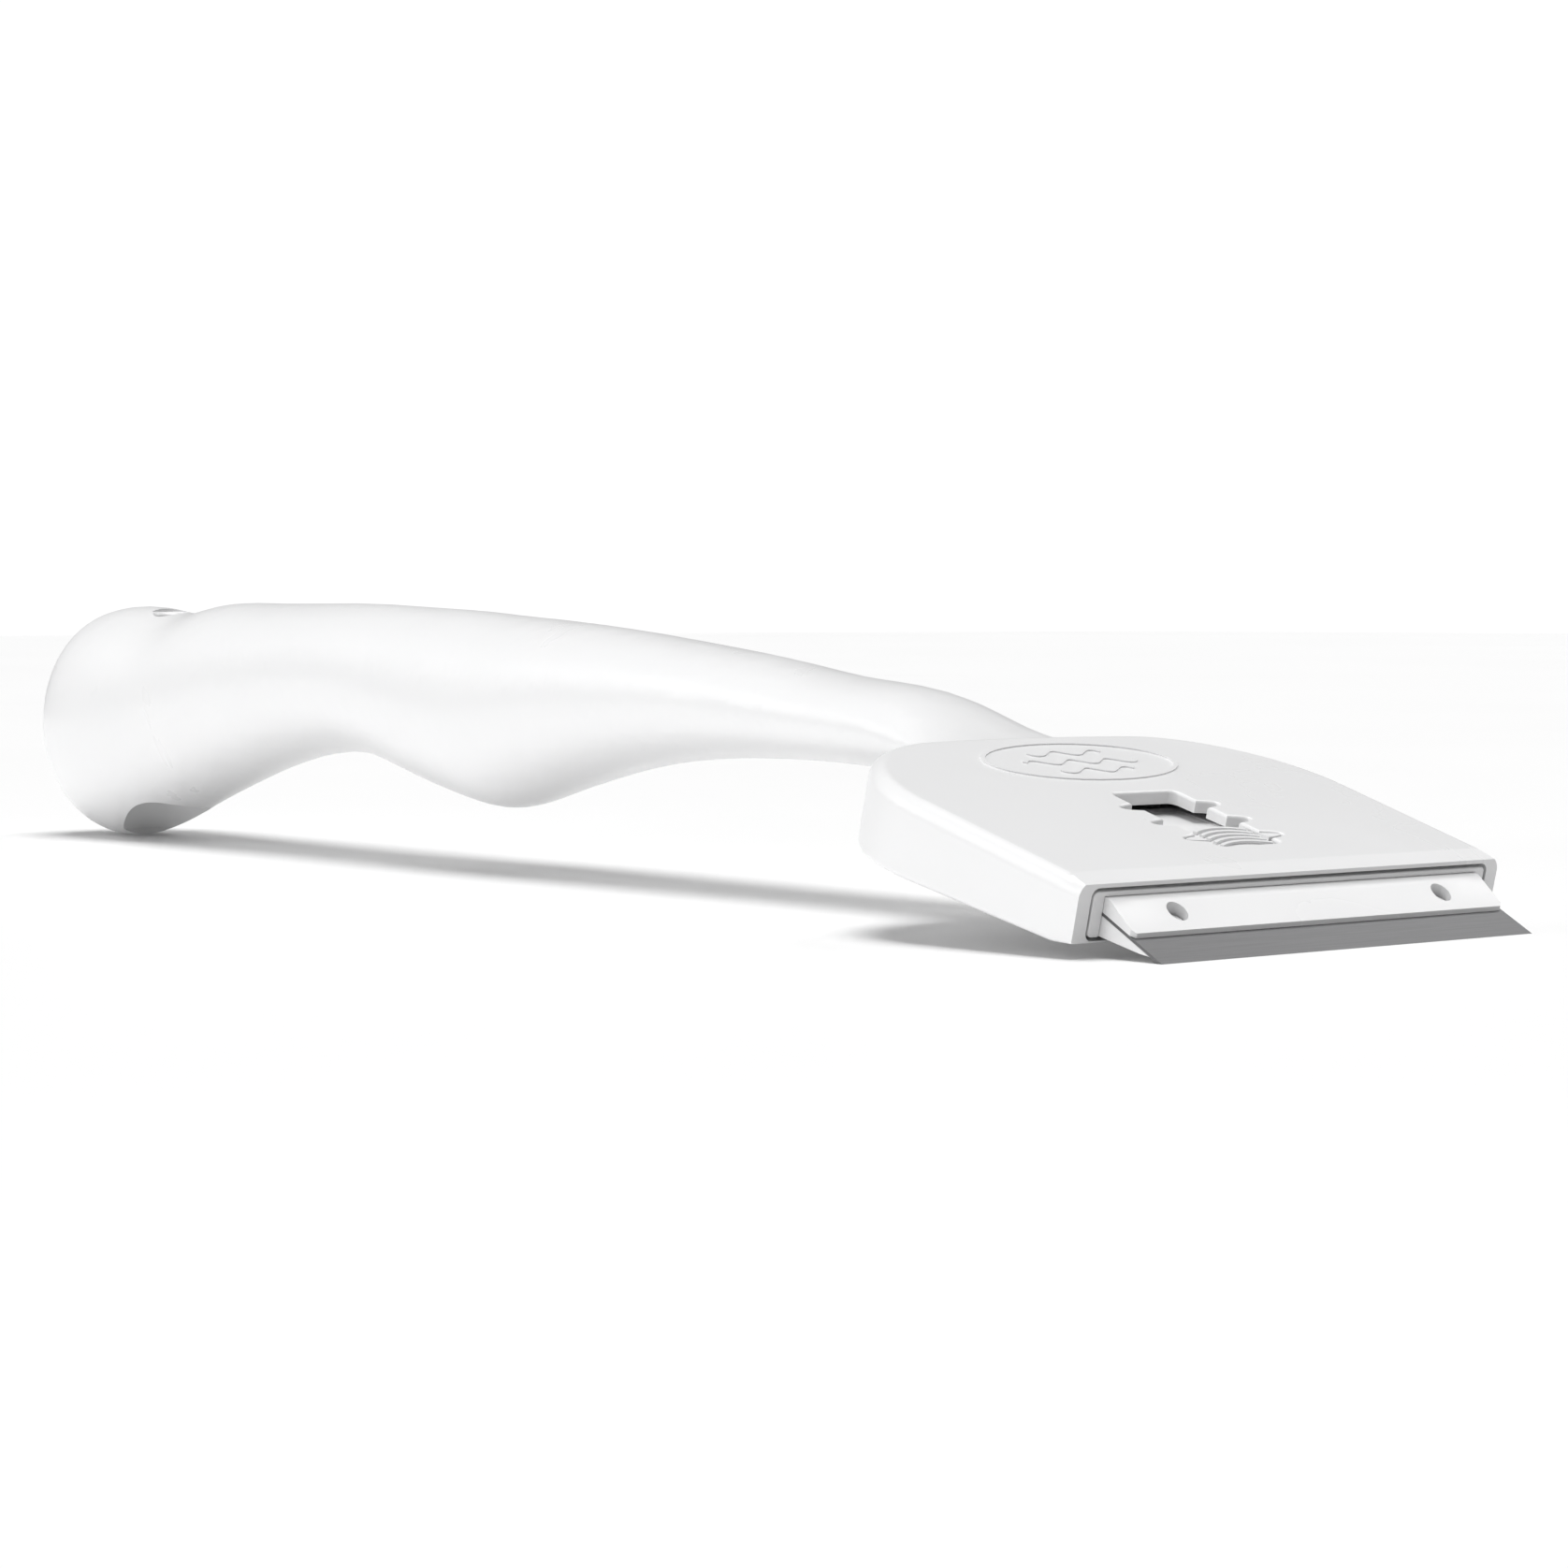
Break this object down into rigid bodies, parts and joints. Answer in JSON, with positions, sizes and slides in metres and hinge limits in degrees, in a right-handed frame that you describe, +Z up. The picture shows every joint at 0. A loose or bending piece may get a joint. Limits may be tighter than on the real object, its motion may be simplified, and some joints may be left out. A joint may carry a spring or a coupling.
{
  "type": "algae scraper",
  "caption": "Hand scraper for aquarium glass: a curved moulded handle with a wide flat head whose steel blade slides out and locks by a thumb latch.",
  "frame": {"origin": "on the table, under the middle of the object's box, as it lies on its pommel and its blade's edge", "axes": "+X from the pommel to the blade, +Y across the blade, +Z up"},
  "size_m": [0.336, 0.0826, 0.045],
  "materials": {
    "handle_plastic": "smooth white, satin to gloss",
    "slider_plastic": "smooth white",
    "clamp_plastic": "smooth white, satin",
    "blade_steel": "fine ground stainless steel"
  },
  "bodies": {
    "handle": {"handle_body": "handle_plastic"},
    "carriage": {"slider": "slider_plastic", "blade_bed": "clamp_plastic", "blade_clamp": "clamp_plastic", "blade": "blade_steel"},
    "button": {"latch_tongue": "slider_plastic", "thumb_pad": "slider_plastic"}
  },
  "joints": [
    {"name": "blade_slide", "type": "slide", "parent": "handle", "child": "carriage", "axis": [0.9736, 0, -0.2284], "range_m": [-0.0124, 0]},
    {"name": "button_press", "type": "hinge", "parent": "carriage", "child": "button", "pos_m": [0.12738, 0, 0.01511], "axis": [0, 1, 0], "range_deg": [0, 5.7], "stiffness_Nm_per_rad": 0.3, "deforming": ["latch_tongue"]}
  ]
}
